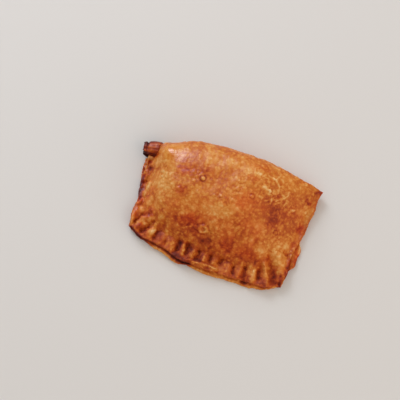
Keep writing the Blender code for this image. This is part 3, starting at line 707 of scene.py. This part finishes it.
        # the first touch on the next line is painted shadow under the lifted front edge, over its darker cut
        # edge
        (-20, -39.8, -10.5, -40.6, 2.1, 0.53, -0.5), (-6.4, -37.4, 4, -39.6, 2.4, 0.3, -0.1),
        (2, -38, 9, -39.6, 1.2, -0.06, -0.3), (-47.5, -36, -40, -37.2, 1.8, 0.22, 0),
        (50.6, -23, 50.6, -30, 1.8, 0.18, -0.2), (52, 5, 52.2, -10, 1.8, -0.04, 0.2),
        (45.2, -30.6, 47.6, -34.2, 1.4, 0.36, -0.4), (56.5, -13, 55.5, -18, 1.5, 0.33, 0),
        (-0.1, -22, 5.5, -25.6, 1.3, -0.16, 0), (-18.6, -30.5, -16.6, -36, 1.3, 0.22, 0),
        # the pale touch on the next line is painted light along the flap's lit outer edge
        (53.8, -4.5, 54.6, -10.5, 0.9, -0.45, -0.6),
    ],
}


def browningShadeAndHighlightTone(points):
    tone, red = np.zeros(len(points)), np.zeros(len(points))
    amount, size = browningShadeAndHighlight["ragged"]
    bent = points[:, :2] + amount * np.column_stack([noiseAt(points, size, seed) for seed in (26, 27)])
    for places, where, steepness in ((browningShadeAndHighlight["patches"], points, 1.0), (browningShadeAndHighlight["stains"], bent, 2.4)):
        for x, y, across, upward, turn, toneShift, redShift in places:
            c, s = math.cos(math.radians(turn)), math.sin(math.radians(turn))
            dx, dy = where[:, 0] - x, where[:, 1] - y
            a, b = (dx * c + dy * s) / across, (dy * c - dx * s) / upward
            there = np.exp(-((a * a + b * b) ** steepness))
            tone += toneShift * there
            red += redShift * there
    for x, y, across, upward, toneShift in browningShadeAndHighlight["spots"]:
        there = ((points[:, 0] - x) / across) ** 2 + ((points[:, 1] - y) / upward) ** 2
        tone += toneShift * np.exp(-there)
    for *ends, half, toneShift, redShift in browningShadeAndHighlight["touches"]:
        there = nearStroke(points[:, :2], ends, half)
        tone += toneShift * there
        red += redShift * there
    return tone, red


def writeAttribute(mesh, name, values):
    layer = mesh.attributes.new(name, "FLOAT", "POINT")
    layer.data.foreach_set("value", np.ascontiguousarray(values, dtype=np.float32))


def finishCrust(mesh, ringOf):
    points, normals = readPoints(mesh)
    top = ringOf == 0
    base = ringOf > len(seam["rings"])
    edge = ~top & ~base
    folded = eased(points[:, 1], *relief["foldFrom"])
    flat = wavered(points)
    pressed = np.where(top, pressDepth(flat)[0], 0.0)
    _, lobeTone, lobeRed = lobeShape(flat)
    calm = np.clip(1.0 - 0.5 * pressed, 0.3, 1.0) * ~base

    lift = np.zeros(len(points))
    loose = 1.0 - np.clip(bumps(points, relief["taut"]), 0.0, 0.95)
    for number, (size, height) in enumerate(relief["swells"]):
        swell = height * noiseAt(points, size, number + 1)
        lift += swell * np.where(top, 1.0, 0.3) * calm * (loose if size < 15.0 else 1.0)
    for number, (size, height) in enumerate(relief["edgeSwells"]):
        lift += height * noiseAt(points * (1.0, 1.0, 2.5), size, number + 5) * edge
    size, height = relief["wrinkles"]
    slope = eased(points[:, 1], *relief["slopeFrom"]) * top
    wrinkle = noiseAt(points * (1.0, 0.28, 0.28), size, 9) * slope
    lift += height * wrinkle * calm
    raised, dome, moat = blisterRelief(points, blisterList(points, top & (pressed < 0.1)))
    lift += raised * np.where(top, 1.0, 0.5) * calm
    puffed, puffs = bubbling(points)
    lift += puffed * top * calm * loose
    flaked = flakes(points) * top
    lift += relief["flakeHeight"] * flaked
    ridged = ridges(points, flat) * top
    lift += ridged

    lift *= smooth(points[:, 2] / 1.2)  # nothing moves where it stands on the floor
    points = points + normals * lift[:, None]
    points[:, 2] = np.maximum(points[:, 2], 0.0)
    placePoints(mesh, points)

    x, y = points[:, 0], points[:, 1]
    front = y < -30.0
    tone, red = browningShadeAndHighlightTone(points)
    b = browningShadeAndHighlight
    ring, width = seam["gap"]
    # painted shade: the seam's gap darker along the front and the left, over its browned cut edge
    gap = np.exp(-(((ringOf - ring) / width) ** 2)) * edge * (1.0 - folded)
    leftGap = np.interp(y, *zip(*seam["leftGapTones"])) * (x < 0.0)
    tone += gap * np.where(front, np.interp(x, *zip(*seam["gapTones"])), leftGap)
    # the lip paler where lit and darker under the lifted edge: painted light and shade
    tone += np.interp(x, *zip(*seam["lipTones"])) * eased(ringOf, 11.0, 2.0) * edge * front
    # painted shade in the presses, painted light and shade on the wrinkles, and a partly painted highlight on
    # the domes
    tone += lobeTone * (top | (ringOf < 8)) + b["pressShadeTone"] * np.minimum(pressed, 2.4) + b["edgeTone"] * edge
    tone += b["moatTone"] * moat + b["domePaleAndHighlightTone"] * dome + b["flakeTone"] * flaked + b["ridgeTone"] * ridged
    tone += b["wrinkleShadingTone"] * wrinkle + b["puffTone"] * puffs * top
    shallow = np.minimum(pressed, 1.0)
    rim = eased(y, *b["rimFrom"])
    red += lobeRed + b["redness"] + b["pressRed"] * shallow + b["edgeRed"] * edge * (1.0 - folded)
    red += b["rimRed"] * rim
    writeAttribute(mesh, "tone", tone)
    writeAttribute(mesh, "red", np.clip(red, -1.0, 1.5))
    writeAttribute(mesh, "shine", 1.0 - loose - b["pressDulling"] * shallow - rim)
    mesh.shade_smooth()


def hexColor(text):
    channels = [int(text[i:i + 2], 16) / 255 for i in (0, 2, 4)]
    linear = [c / 12.92 if c <= 0.04045 else ((c + 0.055) / 1.055) ** 2.4 for c in channels]
    return (*linear, 1.0)


def addNode(tree, kind, settings=None, **inputs):
    # an input is a value, or a (node, output) pair to link from; _0 is an input by its number
    node = tree.nodes.new(kind)
    for name, value in (settings or {}).items():
        setattr(node, name, value)
    for name, value in inputs.items():
        socket = node.inputs[int(name[1:])] if name[1:].isdigit() else node.inputs[name.replace("_", " ")]
        if isinstance(value, tuple) and isinstance(value[0], bpy.types.Node):
            tree.links.new(value[0].outputs[value[1]], socket)
        else:
            socket.default_value = value
    return node


crustFinish = {
    # from underbaked to scorched
    "tones": [
        (0, "EAC086"),
        (0.16, "E3AB63"),
        (0.32, "DB9549"),
        (0.44, "D38333"),
        (0.53, "CB7425"),
        (0.63, "C0621B"),
        (0.74, "B34F12"),
        (0.88, "9B390B"),
        (1.04, "7E2806"),
        (1.3, "601904"),
        (1.6, "420C03"),
    ],
    "toneSpan": 1.6,
    "middleTone": 0.52,
    # patterns: size in mm, how far they swing the tone
    "clouds": (13.0, 0.14),  # slow change over the whole crust
    "mottle": (4.2, 0.76),  # blotches of the egg wash
    "drifts": (16.0, 2.4),  # where those are strong
    "cells": (2.6, 0.20),  # blistered skin
    "grain": (1.1, 0.34),  # crumb of the dough
    "redTint": "FFC8B4",
    "redness": (9.0, 1.2),  # the same for the tint
    "roughness": 0.47,
    "polish": 0.25,  # how much smoother the brushed, taut skin is
    "bumpHeight": 0.00026,
}


def crustMaterial():
    # baked shortcrust brushed with egg: uneven browning, a blistered skin, a soft shine
    material = bpy.data.materials.new("bakedShortcrust")
    material.use_nodes = True
    tree = material.node_tree
    tree.nodes.clear()
    f = crustFinish
    where = (addNode(tree, "ShaderNodeTexCoord"), "Object")

    def noiseOf(name, detail, seed):
        moved = addNode(tree, "ShaderNodeMapping", Vector=where, Location=(seed, 2.0 * seed, 3.0 * seed))
        scale = 1000.0 / f[name][0]
        texture = addNode(
            tree, "ShaderNodeTexNoise", Vector=(moved, 0), Scale=scale, Detail=detail, Roughness=0.58
        )
        return (texture, "Fac")

    def combine(operation, a, b, c=0.0):
        return (addNode(tree, "ShaderNodeMath", {"operation": operation}, _0=a, _1=b, _2=c), 0)

    def swung(pattern, name, middle=0.0):
        # a pattern from 0 to 1 made to swing round the middle
        swing = f[name][1]
        return combine("MULTIPLY_ADD", pattern, swing, middle - 0.5 * swing)

    def attribute(name):
        return (addNode(tree, "ShaderNodeAttribute", {"attribute_name": name}), "Fac")

    mottle = noiseOf("mottle", 4.0, 0.2)
    grain = noiseOf("grain", 2.0, 0.3)
    # rounded cells whose outlines wander, paler in their middles
    scale = 1000.0 / f["cells"][0]
    wander = (0.0025, 0.0025, 0.0025)
    waver = addNode(tree, "ShaderNodeTexNoise", Vector=where, Scale=scale, Detail=1.0)
    bent = addNode(
        tree, "ShaderNodeVectorMath", {"operation": "MULTIPLY_ADD"}, _0=(waver, "Color"), _1=wander, _2=where
    )
    cells = addNode(
        tree, "ShaderNodeTexVoronoi", {"feature": "SMOOTH_F1"}, Vector=(bent, 0), Scale=scale, Smoothness=0.45
    )
    blob = addNode(
        tree,
        "ShaderNodeMapRange",
        {"interpolation_type": "SMOOTHSTEP"},
        Value=(cells, "Distance"),
        From_Min=0.10,
        From_Max=0.60,
    )

    tone = swung(noiseOf("clouds", 3.0, 0.1), "clouds", f["middleTone"])
    strength = swung(noiseOf("drifts", 1.0, 0.5), "drifts", 0.8)
    for layer in (
        combine("MULTIPLY", swung(mottle, "mottle"), strength),
        swung(grain, "grain"),
        swung((blob, 0), "cells", -0.02),
        attribute("tone"),
    ):
        tone = combine("ADD", tone, layer)
    tone = combine("DIVIDE", tone, f["toneSpan"])
    ramp = addNode(tree, "ShaderNodeValToRGB", Fac=tone)
    stops = ramp.color_ramp.elements
    while len(stops) < len(f["tones"]):
        stops.new(0.5)
    for stop, (position, colour) in zip(stops, f["tones"]):
        stop.position = position / f["toneSpan"]
        stop.color = hexColor(colour)
    amount = combine("ADD", attribute("red"), swung(noiseOf("redness", 2.0, 0.4), "redness", 0.18))
    clamped = addNode(tree, "ShaderNodeClamp", Value=amount)
    tinted = addNode(
        tree,
        "ShaderNodeMix",
        {"data_type": "RGBA", "blend_type": "MULTIPLY"},
        _0=(clamped, 0),
        _6=(ramp, "Color"),
        _7=hexColor(f["redTint"]),
    )

    bumpHeight = combine("MULTIPLY", combine("ADD", mottle, grain), 0.5)
    bump = addNode(tree, "ShaderNodeBump", Height=bumpHeight, Distance=f["bumpHeight"], Strength=1.0)
    rough = combine("MULTIPLY_ADD", mottle, 0.20, f["roughness"] - 0.10)
    rough = combine("MULTIPLY_ADD", attribute("shine"), -f["polish"], rough)
    shader = addNode(
        tree,
        "ShaderNodeBsdfPrincipled",
        Base_Color=(tinted, 2),
        Roughness=rough,
        Normal=(bump, "Normal"),
        IOR=1.45,
        Specular_IOR_Level=0.25,
    )
    addNode(tree, "ShaderNodeOutputMaterial", Surface=(shader, "BSDF"))
    return material


def showPiece(name, mesh, material):
    piece = addObject(name, mesh)
    mesh.materials.append(material)
    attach(piece, "root")
    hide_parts("pie")
    return piece


# The frame's box is centred over the origin; the drawing here isn't, so this is the way over
originShift = np.array((
    0.001 * parcel["mostRight"] - cadBox[1].x,
    0.001 * parcel["mostBack"] - cadBox[1].y,
    0.0,
))

crustFinished = crustMaterial()
crustMesh, ringOf = buildCrust()
finishCrust(crustMesh, ringOf)
crust = showPiece("crust", crustMesh, crustFinished)
print("crust", len(crust.data.vertices), "points")


roll = {
    "centre": (-57.0, 20.8, 6.6),
    "turn": 11.0,
    "length": 12.0,
    "radius": 5.9,
    "pitch": 1.8,
    "sheet": 1.5,
    "thinning": 0.3,
    "winds": 1.7,
    "start": -150.0,
    "steps": 110,
    "cuts": 48,
    "taper": 0.12,
    "pinch": (-3.4, 0.7, 0.24, 40.0),  # place on its axis, half width, depth, side it is deepest on
    "rounding": 3.0,  # how far in from its ends the wound dough rounds over
    "endSize": 0.80,  # share of its girth left there
    "ribs": (1.1, 0.28),  # lines along it where the layers end: size, height
    "lumps": (3.5, 0.25),  # size, height
    "tone": 0.22,
    "redness": -0.25,
    # the underside darker and redder: painted shade
    "shadeUnderneath": (10.5, -5.0, 0.9, 0.5),  # from z, over how much, tone, redness
    "outerEnd": (-59.0, -4.0, 0.34),  # from x, over how much, tone
    # darker at the inner end, where the roll meets the crust: painted shade
    "innerEndShade": (-54.0, 3.5, 0.4),
    # darker in the pinched notch: painted shade
    "pinchShadeTone": 0.4,
    # paler on the raised ribs: painted highlight along the layer edges
    "ribHighlightTone": -0.16,
}


def buildRoll():
    # a strip of the seam wound up on itself: its spiral end face drawn out along the axis
    r = roll
    outer, inner = [], []
    for k in range(r["steps"] + 1):
        share = k / r["steps"]
        angle = math.radians(r["start"] + share * r["winds"] * 360.0)
        radius = r["radius"] - share * r["winds"] * r["pitch"]
        thin = radius - r["sheet"] * (1.0 - r["thinning"] * share)
        outer.append((-0.5 * r["length"], radius * math.cos(angle), radius * math.sin(angle)))
        inner.append((-0.5 * r["length"], thin * math.cos(angle), thin * math.sin(angle)))
    bm = bmesh.new()
    face = bm.faces.new([bm.verts.new(spot) for spot in outer + inner[::-1]])
    made = bmesh.ops.extrude_face_region(bm, geom=[face])["geom"]
    fresh = [item for item in made if isinstance(item, bmesh.types.BMVert)]
    bmesh.ops.translate(bm, verts=fresh, vec=(r["length"], 0.0, 0.0))
    for k in range(1, r["cuts"]):
        everything = bm.verts[:] + bm.edges[:] + bm.faces[:]
        cut = (r["length"] * (k / r["cuts"] - 0.5), 0.0, 0.0)
        bmesh.ops.bisect_plane(bm, geom=everything, plane_co=cut, plane_no=(1.0, 0.0, 0.0))
    bmesh.ops.recalc_face_normals(bm, faces=bm.faces)
    mesh = meshFrom(bm, "rolledCorner")
    points, normals = readPoints(mesh)
    place, width, depth, side = r["pinch"]
    angle = np.degrees(np.arctan2(points[:, 2], points[:, 1]))
    nearSide = (0.5 + 0.5 * np.cos(np.radians(angle - side))) ** 2
    pinch = np.exp(-(((points[:, 0] - place) / width) ** 2)) * nearSide
    fromEnd = 0.5 * r["length"] - np.abs(points[:, 0])
    rounded = 1.0 - np.clip(1.0 - fromEnd / r["rounding"], 0.0, 1.0) ** 2
    scale = 1.0 + 2.0 * r["taper"] * points[:, 0] / r["length"]
    scale *= (1.0 - depth * pinch) * (r["endSize"] + (1.0 - r["endSize"]) * rounded)
    ribSize, ribHeight = r["ribs"]
    ribs = noiseAt(points * (0.12, 1.0, 1.0), ribSize, 22)
    lumpSize, lumpHeight = r["lumps"]
    lift = lumpHeight * noiseAt(points, lumpSize, 21) + ribHeight * ribs
    points[:, 1:] *= scale[:, None]
    points += normals * lift[:, None]
    c, s = math.cos(math.radians(r["turn"])), math.sin(math.radians(r["turn"]))
    x, y = points[:, 0].copy(), points[:, 1].copy()
    points[:, 0], points[:, 1] = x * c - y * s, x * s + y * c
    points += np.array(r["centre"])
    placePoints(mesh, points)
    # painted shade under the roll, in its notch and at its inner end; painted highlight on its ribs
    *span, underShadeTone, underShadeRed = r["shadeUnderneath"]
    under = eased(points[:, 2], *span)
    tone = r["tone"] + underShadeTone * under + r["pinchShadeTone"] * pinch + r["ribHighlightTone"] * ribs
    for *span, endTone in (r["outerEnd"], r["innerEndShade"]):
        tone += endTone * eased(points[:, 0], *span)
    writeAttribute(mesh, "tone", tone)
    writeAttribute(mesh, "red", r["redness"] + underShadeRed * under)
    mesh.shade_smooth()
    return mesh


rolledCorner = showPiece("rolledCorner", buildRoll(), crustFinished)
print("rolled corner", len(rolledCorner.data.vertices), "points")


studio = {
    "floorSize": 3.0,
    "floorColor": "D9D8D6",
    "azimuth": 20.0,
    "elevation": 78.35,
    "distance": 1.0,
    "frameWidth": 0.26,
    "sensor": 36.0,
    "target": (-17.2, 0.8, 0.0),  # where the middle of the picture meets the floor, in mm
    "sky": "EFEAE3",
    "skyStrength": 0.72,
    "lightDistance": 1.3,
    # clockwise from the picture's top, elevation, size, power, colour, only a reflection
    "lights": [
        (337, 32, 0.7, 7.2, "F8F8FF", False),
        (122, 32, 1.5, 5.4, "FFEADA", False),
        (328, 40, 0.82, 29, "DCE8FF", True),
    ],
}


def buildFloor():
    bm = bmesh.new()
    bmesh.ops.create_grid(bm, x_segments=1, y_segments=1, size=studio["floorSize"] / 2)
    floor = addObject("floor", meshFrom(bm, "floor"))
    material = bpy.data.materials.new("mattePaper")  # plain pale backdrop paper, no shine
    material.use_nodes = True
    shader = material.node_tree.nodes["Principled BSDF"]
    shader.inputs["Base Color"].default_value = hexColor(studio["floorColor"])
    shader.inputs["Roughness"].default_value = 0.8
    floor.data.materials.append(material)


def towards(azimuth, elevation):
    turn, tilt = math.radians(azimuth), math.radians(elevation)
    return Vector((-math.sin(turn) * math.cos(tilt), math.cos(turn) * math.cos(tilt), math.sin(tilt)))


def aim(thing, target, way, distance):
    # stand the thing off the target that way, looking back at it
    thing.location = target + way * distance
    thing.rotation_euler = (-way).to_track_quat("-Z", "Y").to_euler()


def buildLights():
    world = bpy.data.worlds.new("softRoom")
    bpy.context.scene.world = world
    world.use_nodes = True
    background = world.node_tree.nodes["Background"]
    background.inputs["Color"].default_value = hexColor(studio["sky"])
    background.inputs["Strength"].default_value = studio["skyStrength"]
    world.cycles_visibility.glossy = False  # the shine comes from the softboxes alone
    for number, (azimuth, elevation, size, power, colour, reflected) in enumerate(studio["lights"]):
        light = bpy.data.lights.new("softbox%d" % number, "AREA")
        light.shape = "DISK"
        light.size = size
        light.energy = power
        light.color = hexColor(colour)[:3]
        lamp = addObject(light.name, light)
        aim(lamp, Vector(), towards(studio["azimuth"] - azimuth, elevation), studio["lightDistance"])
        lamp.visible_diffuse = not reflected


def buildCamera():
    s = studio
    data = bpy.data.cameras.new("camera")
    data.sensor_width = s["sensor"]
    data.lens = s["sensor"] * s["distance"] / s["frameWidth"]
    camera = addObject("camera", data)
    target = Vector(s["target"]) * 0.001 - Vector(originShift)
    aim(camera, target, towards(s["azimuth"] + 180.0, s["elevation"]), s["distance"])
    bpy.context.scene.camera = camera
    bpy.context.scene.view_settings.view_transform = "Standard"


buildFloor()
buildLights()
buildCamera()
print("floor, lights and camera set")
